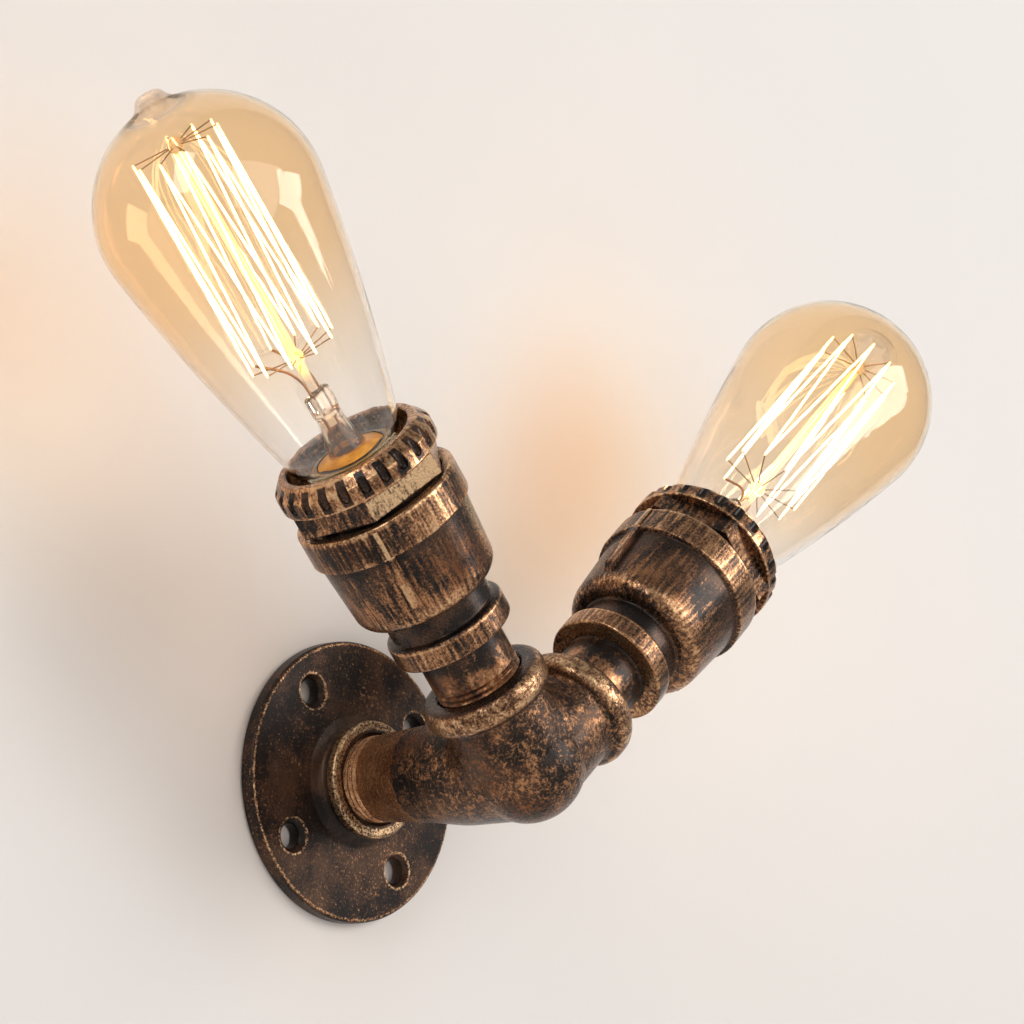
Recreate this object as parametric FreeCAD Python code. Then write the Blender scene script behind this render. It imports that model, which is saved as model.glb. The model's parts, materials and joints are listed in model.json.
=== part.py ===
import FreeCAD, Part
import math
import os

# Industrial pipe wall light, in millimetres.
# The wall is the plane y = 0 and the lamp stands out from it along -Y; +Z is up.
# The origin is the centre of the wall flange's back face.
# A three-way elbow is screwed into the flange. Two arms leave it at 45 degrees to the vertical,
# in a plane parallel to the wall, and each arm carries a lampholder and a filament bulb.
# Lengths along an arm are measured from the elbow's centre, where its three axes meet.

V = FreeCAD.Vector

# ---- driving sizes: pipework -------------------------------------------------------------------
pipe_od = 25.6
pipe_wall = 2.3
pipe_thread_pitch = 1.814
pipe_thread_depth = 0.75
thread_engagement = 14.0
thread_fit = 0.10

# ---- driving sizes: wall flange ----------------------------------------------------------------
flange_d = 83.2
flange_rim_thickness = 4.6
flange_foot_thickness = 6.0
flange_foot_r = 19.5
flange_rim_rounding = 1.2
hub_d = 34.8
hub_height = 13.9
hub_bead_height = 3.6
hub_wall = 2.9
bolt_count = 4
bolt_circle_d = 61.6
bolt_hole_d = 7.3
bolt_rim_d = 11.3
bolt_pattern_angle = 38.2

# ---- driving sizes: three-way elbow ------------------------------------------------------------
elbow_reach = 73.9
inlet_back_gap = 1.0
inlet_thread_length = 16.4
inlet_knee = 38.0
inlet_knee_d = 28.8
inlet_full_reach = 50.0
casting_d = 32.0
casting_ball_d = 33.8
crotch_radius = 4.5
crotch_sink = 0.25
port_tube_d = 31.6
port_reach = 30.0
port_bead_d = 37.8
port_bead_width = 8.4
port_bead_rounding = 3.3

# ---- driving sizes: arms -----------------------------------------------------------------------
visible_nipple = 15.0
nipple_long_thread = 18.0

ring_d = 35.8
ring_width = 6.9
reducer_neck_d = 31.4
reducer_neck_length = 7.4
cup_bottom_d = 42.6
cup_top_d = 45.8
cup_rounding = 5.0
cup_length = 23.5
band_d = 48.6
band_width = 10.6
rib_width = 3.0
rib_stand = 1.8
parting_ridge_width = 1.3
parting_ridge_stand = 0.6
reducer_wall = 2.2
reducer_web = 2.6
seat_step = 4.5

bush_gap = 1.4
bush_thread_pitch = 2.0
bush_thread_depth = 0.8
bush_wall = 3.4
bush_fit = 0.2
hex_across_flats = 42.0
hex_height = 6.4
crown_d = 48.2
crown_height = 8.6
crown_ring_height = 5.0
crown_lip_d = 42.0
crown_mouth_d = 37.6
crown_mouth_depth = 11.0
groove_count = 24
groove_d = 3.1
groove_straight = 3.4
groove_bite = 1.6
groove_lift = 3.3

# The two arms are screwed up to different angles about their own axes.
rib_angle = {"left": -54.0, "right": -87.0}
hex_angle = {"left": -50.3, "right": -27.8}

# ---- driving sizes: lampholder -----------------------------------------------------------------
holder_play = 0.3
holder_foot_height = 6.0
holder_rise = 36.0
holder_floor = 3.0
terminal_pocket_depth = 7.0
contact_well_depth = 3.0
contact_well_d = 18.0
washer_thickness = 1.2
shell_thickness = 0.45
shell_height = 20.5
shell_seam_angle = 150
leaf_width = 5.0
leaf_thickness = 0.6
leaf_dimple_d = 5.0
contact_gap = 0.1
terminal_offset = 6.0
terminal_width = 6.0
terminal_back = 2.6
terminal_front = 4.2
terminal_height = 6.0
terminal_post_d = 2.6
clamp_screw_d = 2.5
clamp_screw_head_d = 4.4
clamp_screw_head_height = 1.6
wire_d = 2.2
wire_core_d = 1.4
live_lane = 2.0
neutral_lane = 7.0

# ---- driving sizes: bulb -----------------------------------------------------------------------
bulb_d = 64.0
bulb_length = 140.0
cap_height = 27.0
cap_core_d = 24.4
cap_thread_ridge_d = 2.0
cap_thread_crest_d = 26.1
cap_thread_pitch = 3.629
cap_thread_turns = 3.6
cap_thread_start = 7.2
cap_skirt_d = 26.4
cap_skirt_height = 5.0
cap_sheet = 0.4
thread_play = 0.35
eyelet_d = 9.2
eyelet_height = 1.4
eyelet_stud_d = 2.6
insulator_height = 5.6
insulator_grip = 1.8
glass_thickness = 0.9
glass_neck_d = 22.6
glass_insertion = 8.5
shoulder_d = 34.4
shoulder_rise = 5.0
waist_bow = 1.1
exhaust_tip_d = 19.2
exhaust_tip_height = 3.8
stem_flare_d = 20.2
stem_flare_lift = 0.5
stem_flare_height = 2.6
stem_foot_d = 11.2
stem_tube_d = 7.6
stem_tube_wall = 1.0
stem_press_height = 7.0
stem_press_width = 9.0
stem_press_thickness = 3.8
stem_rod_d = 2.8
stem_button_d = 4.8
stem_press_rise = 42.0
cage_bottom_rise = 62.0
cage_height = 66.0
cage_d = 25.4
cage_hooks = 9
cage_spread = 320.0
filament_d = 0.5
support_wire_d = 0.4
lead_wire_d = 0.8

# ---- driving sizes: terminal block in the elbow's inlet ----------------------------------------
block_back = 12.0
block_length = 18.0
block_play = 0.3
block_live_height = -3.3
block_neutral_height = 4.3
block_wire_spacing = 5.6
block_core_reach = 7.0
insert_width = 10.6
insert_height = 4.8
insert_length = 14.0
block_screw_d = 2.5
block_screw_head_d = 3.8
block_screw_setback = 4.0

# ---- places worked out from the sizes above ----------------------------------------------------
pipe_r = pipe_od / 2
pipe_bore_r = pipe_r - pipe_wall
port_bore_r = pipe_r + thread_fit
port_stop = port_reach - thread_engagement
ring_start = port_reach + visible_nipple
ring_end = ring_start + ring_width
neck_end = ring_end + reducer_neck_length
cup_end = neck_end + cup_length
band_end = cup_end + band_width
nipple_end = ring_start + thread_engagement
web_end = nipple_end + reducer_web
holder_base = web_end + seat_step
foot_end = holder_base + holder_foot_height
bush_start = foot_end + washer_thickness
hex_start = band_end + bush_gap
crown_start = hex_start + hex_height
crown_end = crown_start + crown_height
bush_thread_r = cup_top_d / 2 - reducer_wall - bush_fit
bush_bore_r = bush_thread_r - bush_wall
chamber_r = bush_thread_r - 1.2
holder_foot_r = chamber_r - holder_play
holder_barrel_r = bush_bore_r - holder_play
pocket_end = holder_base + terminal_pocket_depth
well_floor = pocket_end + holder_floor
shell_seat = well_floor + contact_well_depth
holder_end = holder_base + holder_rise
bulb_start = shell_seat
shell_inner_r = cap_core_d / 2 + thread_play
shell_outer_r = cap_thread_crest_d / 2 + thread_play + shell_thickness
cap_end = bulb_start + cap_height
insulator_start = bulb_start + eyelet_height
cap_start = insulator_start + insulator_height - insulator_grip
glass_start = cap_end - glass_insertion
shoulder_start = cap_end + 0.6
sphere_r = bulb_d / 2
sphere_centre = bulb_start + bulb_length - sphere_r
press_start = bulb_start + stem_press_rise
press_end = press_start + stem_press_height
cage_start = bulb_start + cage_bottom_rise
cage_end = cage_start + cage_height
block_front = block_back + block_length
clamp_level = pocket_end - terminal_height / 2 - 0.2
core_end = pocket_end - 1.5

arm_lean = math.sqrt(0.5)
arm_axis = {"left": V(-arm_lean, 0, arm_lean), "right": V(arm_lean, 0, arm_lean)}


# ---- shape helpers -----------------------------------------------------------------------------
def rounded_outline(corners):
    """Closed wire in the XZ half plane; a corner is (radius, height) or (radius, height, rounding)."""
    places = [V(corner[0], 0, corner[1]) for corner in corners]
    roundings = [corner[2] if len(corner) > 2 else 0 for corner in corners]
    stations = []
    for index, here in enumerate(places):
        rounding = roundings[index]
        if rounding == 0:
            stations.append((here, None, here))
            continue
        back = (places[index - 1] - here).normalize()
        ahead = (places[(index + 1) % len(places)] - here).normalize()
        half_angle = back.getAngle(ahead) / 2
        reach = rounding / math.tan(half_angle)
        middle = here + (back + ahead).normalize() * (rounding / math.sin(half_angle) - rounding)
        stations.append((here + back * reach, middle, here + ahead * reach))
    edges = []
    for index, (enter, middle, leave) in enumerate(stations):
        if middle is not None:
            edges.append(Part.Arc(enter, middle, leave).toShape())
        following = stations[(index + 1) % len(stations)][0]
        if leave.distanceToPoint(following) > 1e-6:
            edges.append(Part.LineSegment(leave, following).toShape())
    return Part.Wire(edges)


def turned(corners):
    """Solid of revolution about the local Z axis."""
    return Part.Face(rounded_outline(corners)).revolve(V(0, 0, 0), V(0, 0, 1), 360)


def rod(radius, start, end, x=0.0, y=0.0):
    return Part.makeCylinder(radius, end - start, V(x, y, start))


def bar(width_x, width_y, start, end, x=0.0, y=0.0):
    return Part.makeBox(width_x, width_y, end - start, V(x - width_x / 2, y - width_y / 2, start))


def cylinder_between(start, end, radius):
    run = end - start
    return Part.makeCylinder(radius, run.Length, start, run)


def about_axis(shape, angle):
    copy = shape.copy()
    copy.rotate(V(0, 0, 0), V(0, 0, 1), angle)
    return copy


def thread_corners(crest_r, depth, start, end, pitch):
    """Corners of V-shaped thread turns along a turned part, from start up to end."""
    turns = int((end - start) / pitch)
    corners = []
    for turn in range(turns):
        foot = start + turn * pitch
        corners.append((crest_r - depth, foot))
        corners.append((crest_r, foot + 0.4 * pitch))
        corners.append((crest_r, foot + 0.6 * pitch))
    corners.append((crest_r - depth, start + turns * pitch))
    return corners


def routed_wire(points, diameter):
    """Round wire along straight runs joined by tangent arcs."""
    edges = []
    position = points[0]
    for index in range(1, len(points) - 1):
        corner = points[index]
        back = points[index - 1] - corner
        ahead = points[index + 1] - corner
        half_turn = (math.pi - back.getAngle(ahead)) / 2
        trim = 0.45 * min(back.Length, ahead.Length)
        radius = trim / math.tan(half_turn)
        back.normalize()
        ahead.normalize()
        enter = corner + back * trim
        leave = corner + ahead * trim
        lift = radius / math.cos(half_turn) - radius
        middle = corner + (back + ahead).normalize() * lift
        edges.append(Part.LineSegment(position, enter).toShape())
        edges.append(Part.Arc(enter, middle, leave).toShape())
        position = leave
    edges.append(Part.LineSegment(position, points[-1]).toShape())
    path = Part.Wire(edges)
    section = Part.Wire(Part.makeCircle(diameter / 2, points[0], points[1] - points[0]))
    return path.makePipeShell([section], True, True)


def helical_ridge(pitch, turns, start, centre_r, ridge_r):
    """Round ridge along a right-handed helix."""
    helix = Part.makeHelix(pitch, pitch * turns, centre_r)
    heading = V(0, 1, pitch / (2 * math.pi * centre_r))
    section = Part.Wire(Part.makeCircle(ridge_r, V(centre_r, 0, 0), heading))
    ridge = Part.Wire(helix.Edges).makePipeShell([section], True, True)
    ridge.translate(V(0, 0, start))
    return ridge


# ---- places of the local frames ----------------------------------------------------------------
def on_wall(shape):
    """Local +Z becomes -Y, away from the wall; local X stays X and local Y becomes Z."""
    matrix = FreeCAD.Matrix(1, 0, 0, 0, 0, 0, -1, 0, 0, 1, 0, 0, 0, 0, 0, 1)
    placed = shape.copy()
    placed.transformShape(matrix)
    return placed


def arm_frame(side):
    """Local +Z runs along the arm, local X points away from the wall, from the elbow's centre."""
    along = arm_axis[side]
    outward = V(0, -1, 0)
    across = along.cross(outward)
    return FreeCAD.Matrix(
        outward.x, across.x, along.x, 0,
        outward.y, across.y, along.y, -elbow_reach,
        outward.z, across.z, along.z, 0,
        0, 0, 0, 1)


def on_arm(shape, side):
    placed = shape.copy()
    placed.transformShape(arm_frame(side))
    return placed


# ---- wall flange -------------------------------------------------------------------------------
def wall_flange():
    bore_r = pipe_r + thread_fit
    neck_r = bore_r + hub_wall
    hub_r = hub_d / 2
    bead_foot = hub_height - hub_bead_height
    body = turned([
        (bore_r, 0),
        (flange_d / 2, 0, 0.5),
        (flange_d / 2, flange_rim_thickness, flange_rim_rounding),
        (flange_foot_r, flange_foot_thickness, 2.5),
        (neck_r, flange_foot_thickness + 1.2, 2.2),
        (neck_r, bead_foot, 0.6),
        (hub_r, bead_foot, 1.1),
        (hub_r, hub_height, 1.1),
        (bore_r + 1.0, hub_height),
        (bore_r, hub_height - 1.0)])
    rim_r = bolt_rim_d / 2
    hole_r = bolt_hole_d / 2
    slope = (flange_foot_thickness - flange_rim_thickness) / (flange_d / 2 - flange_foot_r)
    face = flange_rim_thickness + slope * (flange_d / 2 - bolt_circle_d / 2)
    hole = turned([
        (0, -1),
        (hole_r, -1),
        (hole_r, face - 1.6, 1.2),
        (rim_r, face + 0.4),
        (rim_r, face + 3),
        (0, face + 3)])
    for index in range(bolt_count):
        angle = math.radians(bolt_pattern_angle + index * 360 / bolt_count)
        cutter = hole.copy()
        cutter.translate(V(bolt_circle_d / 2 * math.cos(angle), bolt_circle_d / 2 * math.sin(angle), 0))
        body = body.cut(cutter)
    return on_wall(body)


# ---- three-way elbow ---------------------------------------------------------------------------
def elbow_inlet():
    """Male end, from just inside the wall face to the elbow's centre."""
    casting_r = casting_d / 2
    corners = [(0, inlet_back_gap)]
    corners += thread_corners(pipe_r, pipe_thread_depth, inlet_back_gap,
                              inlet_back_gap + inlet_thread_length, pipe_thread_pitch)
    corners += [
        (pipe_r, corners[-1][1] + pipe_thread_depth),
        (inlet_knee_d / 2, inlet_knee, 30.0),
        (casting_r, inlet_full_reach, 50.0),
        (casting_r, elbow_reach),
        (0, elbow_reach)]
    return on_wall(turned(corners))


def elbow_port():
    """Female end with its beaded collar, without the bore."""
    bead_start = port_reach - port_bead_width
    return turned([
        (0, 0),
        (port_tube_d / 2, 0),
        (port_tube_d / 2, bead_start, 1.6),
        (port_bead_d / 2, bead_start + 0.8, port_bead_rounding),
        (port_bead_d / 2, port_reach, port_bead_rounding),
        (0, port_reach)])


def port_bore():
    return turned([
        (0, 0),
        (pipe_bore_r, 0),
        (pipe_bore_r, port_stop),
        (port_bore_r, port_stop),
        (port_bore_r, port_reach - 0.8),
        (port_bore_r + 0.8, port_reach),
        (port_bore_r + 0.8, port_reach + 1),
        (0, port_reach + 1)])


def crotch_web(first, second, centre):
    """Quarter bend between two of the elbow's axes, which rounds the crotch between their tubes."""
    tube_r = port_tube_d / 2 - crotch_sink
    bend_r = tube_r + crotch_radius
    start = centre + first * bend_r
    pivot = start + second * bend_r
    section = Part.Face(Part.Wire(Part.makeCircle(tube_r, start, first)))
    return section.revolve(pivot, second.cross(first), 90)


def three_way_elbow():
    centre = V(0, -elbow_reach, 0)
    axes = [arm_axis["left"], arm_axis["right"], V(0, 1, 0)]
    ports = [on_arm(elbow_port(), side) for side in arm_axis]
    webs = [crotch_web(axes[k], axes[(k + 1) % 3], centre) for k in range(3)]
    ball = Part.makeSphere(casting_ball_d / 2, centre)
    body = elbow_inlet().multiFuse(ports + [ball])
    body = body.multiFuse(webs)
    body = body.cut(on_wall(rod(pipe_bore_r, 0, elbow_reach)))
    body = body.cut(Part.makeSphere(pipe_bore_r, centre))
    for side in arm_axis:
        body = body.cut(on_arm(port_bore(), side))
    return body


# ---- arm pipework ------------------------------------------------------------------------------
def nipple():
    corners = [(pipe_bore_r, nipple_end), (pipe_bore_r, port_stop)]
    corners += thread_corners(pipe_r, pipe_thread_depth, port_stop,
                              port_stop + nipple_long_thread, pipe_thread_pitch)
    corners.append((pipe_r, corners[-1][1] + pipe_thread_depth))
    short_thread_start = ring_start - 1.0
    corners.append((pipe_r, short_thread_start - pipe_thread_depth))
    turns = int((nipple_end - short_thread_start) / pipe_thread_pitch)
    corners += thread_corners(pipe_r, pipe_thread_depth, short_thread_start,
                              short_thread_start + (turns + 0.01) * pipe_thread_pitch, pipe_thread_pitch)
    corners.append((pipe_r - pipe_thread_depth, nipple_end))
    return turned(corners)


def reducer_rib(angle):
    """One of the two opposite ribs on the cup, with the parting ridge that carries on over the band."""
    outer_r = cup_top_d / 2 + rib_stand
    foot = neck_end + cup_rounding
    core_r = cup_bottom_d / 2 - 2.0
    outline = Part.makePolygon([
        V(core_r, 0, foot - 2.6),
        V(outer_r - 0.9, 0, foot + 3.0),
        V(outer_r, 0, cup_end + 1.0),
        V(core_r, 0, cup_end + 1.0),
        V(core_r, 0, foot - 2.6)])
    rib = Part.Face(outline).extrude(V(0, rib_width, 0))
    rib.translate(V(0, -rib_width / 2, 0))
    ridge_r = band_d / 2 + parting_ridge_stand
    depth = 1.6
    ridge = bar(depth, parting_ridge_width, cup_end + 1.0, band_end - 1.0, x=ridge_r - depth / 2)
    return [about_axis(rib, angle), about_axis(ridge, angle)]


def reducer(side):
    """Bell reducer: ring, neck, cup and threaded band."""
    mouth_r = bush_thread_r + bush_fit
    body = turned([
        (port_bore_r, ring_start),
        (ring_d / 2, ring_start, 0.9),
        (ring_d / 2, ring_end, 1.6),
        (reducer_neck_d / 2, ring_end + 0.8, 0.8),
        (reducer_neck_d / 2, neck_end, 0.9),
        (cup_bottom_d / 2, neck_end + 0.6, cup_rounding),
        (cup_top_d / 2, cup_end, 0.5),
        (band_d / 2, cup_end + 0.5, 0.7),
        (band_d / 2, band_end, 1.0),
        (mouth_r + 0.8, band_end),
        (mouth_r, band_end - 0.8),
        (mouth_r, foot_end),
        (chamber_r, foot_end),
        (chamber_r, holder_base),
        (chamber_r - 3.8, holder_base),
        (chamber_r - 3.8, web_end, 1.5),
        (pipe_bore_r, web_end),
        (pipe_bore_r, nipple_end),
        (port_bore_r, nipple_end)])
    ribs = []
    for angle in (rib_angle[side], rib_angle[side] + 180):
        ribs += reducer_rib(angle)
    return body.multiFuse(ribs).cut(rod(mouth_r, foot_end, band_end - 1.0))


def crown_bush(side):
    """Threaded bush with a hexagon and a grooved crown."""
    crown_r = crown_d / 2
    mouth_r = crown_mouth_d / 2
    mouth_floor = crown_end - crown_mouth_depth
    ring_top = crown_start + crown_ring_height
    corners = [(bush_bore_r, mouth_floor), (bush_bore_r, bush_start)]
    corners += thread_corners(bush_thread_r, bush_thread_depth, bush_start, hex_start, bush_thread_pitch)
    corners += [
        (bush_thread_r - bush_thread_depth, hex_start + 1.0),
        (bush_thread_r - bush_thread_depth, crown_start),
        (crown_r, crown_start, 0.6),
        (crown_r, ring_top, 1.4),
        (crown_lip_d / 2, crown_end, 0.8),
        (mouth_r, crown_end, 0.5),
        (mouth_r, mouth_floor)]
    body = turned(corners)
    corner_r = hex_across_flats / 2 / math.cos(math.pi / 6)
    hexagon = Part.makePolygon([
        V(corner_r * math.cos(math.radians(60 * k + hex_angle[side])),
          corner_r * math.sin(math.radians(60 * k + hex_angle[side])), hex_start)
        for k in range(7)])
    nut = Part.Face(hexagon).extrude(V(0, 0, crown_start - hex_start + 0.5))
    nut = nut.cut(rod(bush_bore_r + 0.5, hex_start - 1, crown_start + 1))
    body = body.fuse(nut)
    groove_r = groove_d / 2
    centre_r = crown_r + groove_r - groove_bite
    foot = crown_start + groove_lift
    groove = rod(groove_r, foot, foot + groove_straight, x=centre_r)
    groove = groove.fuse([Part.makeSphere(groove_r, V(centre_r, 0, foot)),
                          Part.makeSphere(groove_r, V(centre_r, 0, foot + groove_straight))])
    grooves = [about_axis(groove, 360 / groove_count * index) for index in range(groove_count)]
    return body.cut(grooves)


# ---- lampholder --------------------------------------------------------------------------------
def lampholder_body():
    """Porcelain body: foot, barrel, contact well and a pocket below for the terminals."""
    pocket_r = holder_foot_r - 5.0
    bore_r = shell_outer_r + 0.1
    body = turned([
        (pocket_r, holder_base),
        (holder_foot_r, holder_base, 0.5),
        (holder_foot_r, foot_end, 0.6),
        (holder_barrel_r, foot_end),
        (holder_barrel_r, holder_end, 0.8),
        (bore_r, holder_end, 0.4),
        (bore_r, shell_seat),
        (contact_well_d / 2, shell_seat),
        (contact_well_d / 2, well_floor),
        (0, well_floor),
        (0, pocket_end),
        (pocket_r, pocket_end)])
    post_r = terminal_post_d / 2 + 0.05
    window = bar(terminal_width, terminal_width, holder_base - 1, foot_end - 0.6, x=holder_foot_r - 2.5)
    for angle in (0, 180):
        body = body.cut(about_axis(window, angle))
    body = body.cut(rod(post_r, pocket_end - 1, well_floor + 1, x=live_post_x()))
    return body.cut(rod(post_r, pocket_end - 1, shell_seat + 1, x=-neutral_post_x()))


def live_post_x():
    """The live post comes up inside the contact well."""
    return contact_well_d / 2 - terminal_post_d / 2 - 0.5


def neutral_post_x():
    """The neutral post comes up under the screw shell's lip."""
    return contact_well_d / 2 + terminal_post_d / 2 + 0.4


def clamp_washer():
    """Fibre ring between the lampholder's foot and the bush."""
    return turned([
        (holder_barrel_r + 0.1, foot_end),
        (chamber_r - 0.1, foot_end),
        (chamber_r - 0.1, bush_start),
        (holder_barrel_r + 0.1, bush_start)])


def screw_shell():
    """Rolled brass thread of the lampholder, with its lip at the bottom."""
    lip_r = contact_well_d / 2 + 0.2
    shell_end = shell_seat + shell_height
    body = turned([
        (lip_r, shell_seat),
        (shell_outer_r, shell_seat),
        (shell_outer_r, shell_end),
        (shell_inner_r, shell_end),
        (shell_inner_r, shell_seat + shell_thickness),
        (lip_r, shell_seat + shell_thickness)])
    ridge_r = cap_thread_ridge_d / 2
    turns_below = int(cap_thread_start / cap_thread_pitch)
    start = bulb_start + cap_thread_start - turns_below * cap_thread_pitch
    turns = (shell_end + cap_thread_pitch - start) / cap_thread_pitch
    channel = helical_ridge(cap_thread_pitch, turns, start,
                            cap_thread_crest_d / 2 - ridge_r, ridge_r + thread_play)
    # The turned shell's seam is moved away from the angle at which the channel starts.
    return about_axis(body, shell_seam_angle).cut(channel)


def centre_contact():
    """Sprung leaf from its post up to the lampholder's axis."""
    tip = bulb_start - contact_gap
    foot_x = contact_well_d / 2 - 0.6
    dimple_r = leaf_dimple_d / 2
    outline = Part.makePolygon([
        V(foot_x, 0, well_floor),
        V(foot_x, 0, well_floor + leaf_thickness),
        V(foot_x - 2.4, 0, well_floor + leaf_thickness),
        V(dimple_r, 0, tip),
        V(-dimple_r, 0, tip),
        V(-dimple_r, 0, tip - leaf_thickness),
        V(dimple_r - 0.2, 0, tip - leaf_thickness),
        V(foot_x - 2.5, 0, well_floor),
        V(foot_x, 0, well_floor)])
    leaf = Part.Face(outline).extrude(V(0, leaf_width, 0))
    leaf.translate(V(0, -leaf_width / 2, 0))
    return leaf


def pillar_front(post_x):
    """Outer face of a terminal pillar, past its core hole and its post."""
    return max(terminal_offset + terminal_front, post_x + terminal_post_d / 2)


def terminal_pillar(post_x, post_top):
    """Brass block in the pocket, with a core hole, a screw hole and a post up through the floor."""
    foot = pocket_end - terminal_height
    back = terminal_offset - terminal_back
    front = pillar_front(post_x)
    block = bar(front - back, terminal_width - 0.8, foot, pocket_end, x=(front + back) / 2)
    block = block.fuse(rod(terminal_post_d / 2, pocket_end - 0.5, post_top, x=post_x))
    block = block.cut(rod(wire_core_d / 2 + 0.15, foot - 1, core_end + 0.3, x=terminal_offset))
    screw_hole = cylinder_between(V(terminal_offset, 0, clamp_level),
                                  V(front + 1, 0, clamp_level), clamp_screw_d / 2 + 0.05)
    return block.cut(screw_hole)


def clamp_screw(post_x):
    """Slotted screw that holds a core in its pillar."""
    start = terminal_offset + wire_core_d / 2 + 0.02
    seat = pillar_front(post_x) + 0.05
    end = seat + clamp_screw_head_height
    shank = cylinder_between(V(start, 0, clamp_level), V(seat + 0.2, 0, clamp_level), clamp_screw_d / 2)
    head = cylinder_between(V(seat, 0, clamp_level), V(end, 0, clamp_level), clamp_screw_head_d / 2)
    slot = Part.makeBox(1.4, 0.7, clamp_screw_head_d + 1,
                        V(end - 0.7, -0.35, clamp_level - clamp_screw_head_d / 2 - 0.5))
    return shank.fuse(head).cut(slot)


def terminal_screws():
    return Part.makeCompound([clamp_screw(live_post_x()), about_axis(clamp_screw(neutral_post_x()), 180)])


# ---- wires -------------------------------------------------------------------------------------
def supply_wire(side, block_height, outward, lane):
    """Lead from the terminal block, round the elbow and up the arm to its pillar.

    outward is the lead's distance from the arm's axis, away from the wall.
    lane is its distance from the inlet's axis towards the arm.
    """
    along = arm_axis[side]
    sign = -1 if side == "left" else 1
    entry = V(sign * block_wire_spacing / 2, 0, block_height)
    middle = along * lane
    depth = V(0, -1, 0)
    corner = middle + depth * (elbow_reach + outward)
    strip = V(0, -1, 0) * (block_front + 0.1)
    pillar_foot = pocket_end - terminal_height - 0.1
    end = along * pillar_foot + depth * (elbow_reach + outward)
    points = [
        entry + strip,
        entry + depth * (block_front + 8),
        middle + depth * (elbow_reach - 24),
        corner,
        end]
    lead = routed_wire(points, wire_d)
    core_r = wire_core_d / 2
    core_start = entry + depth * (block_front - block_core_reach)
    cores = [
        cylinder_between(core_start, entry + strip + depth * 0.5, core_r),
        cylinder_between(end - along * 0.5, along * core_end + depth * (elbow_reach + outward), core_r)]
    return lead.multiFuse(cores)


# ---- terminal block ----------------------------------------------------------------------------
def block_insert_box(height, play):
    grown = insert_width + play
    tall = insert_height + play
    long = insert_length + play
    middle = (block_back + block_front) / 2
    return bar(grown, tall, middle - long / 2, middle + long / 2, y=height)


def block_screw_places():
    """Screw places across and along the block: one for the supply core and two for the arms' cores."""
    half = insert_length / 2
    middle = (block_back + block_front) / 2
    return [(0, middle - half + block_screw_setback),
            (-block_wire_spacing / 2, middle + half - block_screw_setback),
            (block_wire_spacing / 2, middle + half - block_screw_setback)]


def outward_of(height):
    return 1 if height > 0 else -1


def terminal_block():
    """Round two-pole block that lies in the elbow's inlet."""
    body = turned([
        (0, block_back),
        (pipe_bore_r - block_play, block_back, 0.6),
        (pipe_bore_r - block_play, block_front, 0.6),
        (0, block_front)])
    for height in (block_live_height, block_neutral_height):
        body = body.cut(block_insert_box(height, 0.1))
        body = body.cut(rod(1.7, block_back - 1, block_back + 5, y=height))
        for sign in (-1, 1):
            x = sign * block_wire_spacing / 2
            body = body.cut(rod(wire_core_d / 2 + 0.2, block_front - 5, block_front + 1, x=x, y=height))
        for x, z in block_screw_places():
            outer = V(x, outward_of(height) * pipe_r, z)
            body = body.cut(cylinder_between(V(x, height, z), outer, block_screw_head_d / 2 + 0.1))
    return on_wall(body)


def block_insert(height):
    """Brass insert of one pole."""
    body = block_insert_box(height, 0)
    front = block_front + 1
    foot = block_front - block_core_reach - 0.3
    body = body.cut(rod(1.1, block_back, (block_back + block_front) / 2 - 1.5, y=height))
    for sign in (-1, 1):
        x = sign * block_wire_spacing / 2
        body = body.cut(rod(wire_core_d / 2 + 0.15, foot, front, x=x, y=height))
    for x, z in block_screw_places():
        outer = V(x, outward_of(height) * pipe_r, z)
        body = body.cut(cylinder_between(V(x, height, z), outer, block_screw_d / 2 + 0.05))
    return on_wall(body)


def block_screws():
    """Slotted screws of both poles."""
    screws = []
    for height in (block_live_height, block_neutral_height):
        sign = outward_of(height)
        for x, z in block_screw_places():
            start = V(x, height + sign * (wire_core_d / 2 + 0.02), z)
            seat = V(x, height + sign * (insert_height / 2 + 0.05), z)
            top = seat + V(0, sign * 1.3, 0)
            screw = cylinder_between(start, seat + V(0, sign * 0.2, 0), block_screw_d / 2)
            screw = screw.fuse(cylinder_between(seat, top, block_screw_head_d / 2))
            slot = bar(0.6, 1.2, z - block_screw_head_d, z + block_screw_head_d, x=x, y=top.y)
            screws.append(on_wall(screw.cut(slot)))
    return Part.makeCompound(screws)


# ---- bulb --------------------------------------------------------------------------------------
def exhaust_tip(inset):
    """Drawn-out point on the head, with hollowed flanks, moved in by inset."""
    top = sphere_centre + sphere_r - inset
    foot_r = exhaust_tip_d / 2 - inset
    return turned([
        (0, top - 2.0),
        (foot_r, top - 2.0),
        (foot_r, top - 1.55),
        (foot_r - 4.0, top + 0.3, 6.0),
        (foot_r - 6.0, top + exhaust_tip_height, 1.8),
        (0, top + exhaust_tip_height)])


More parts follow.
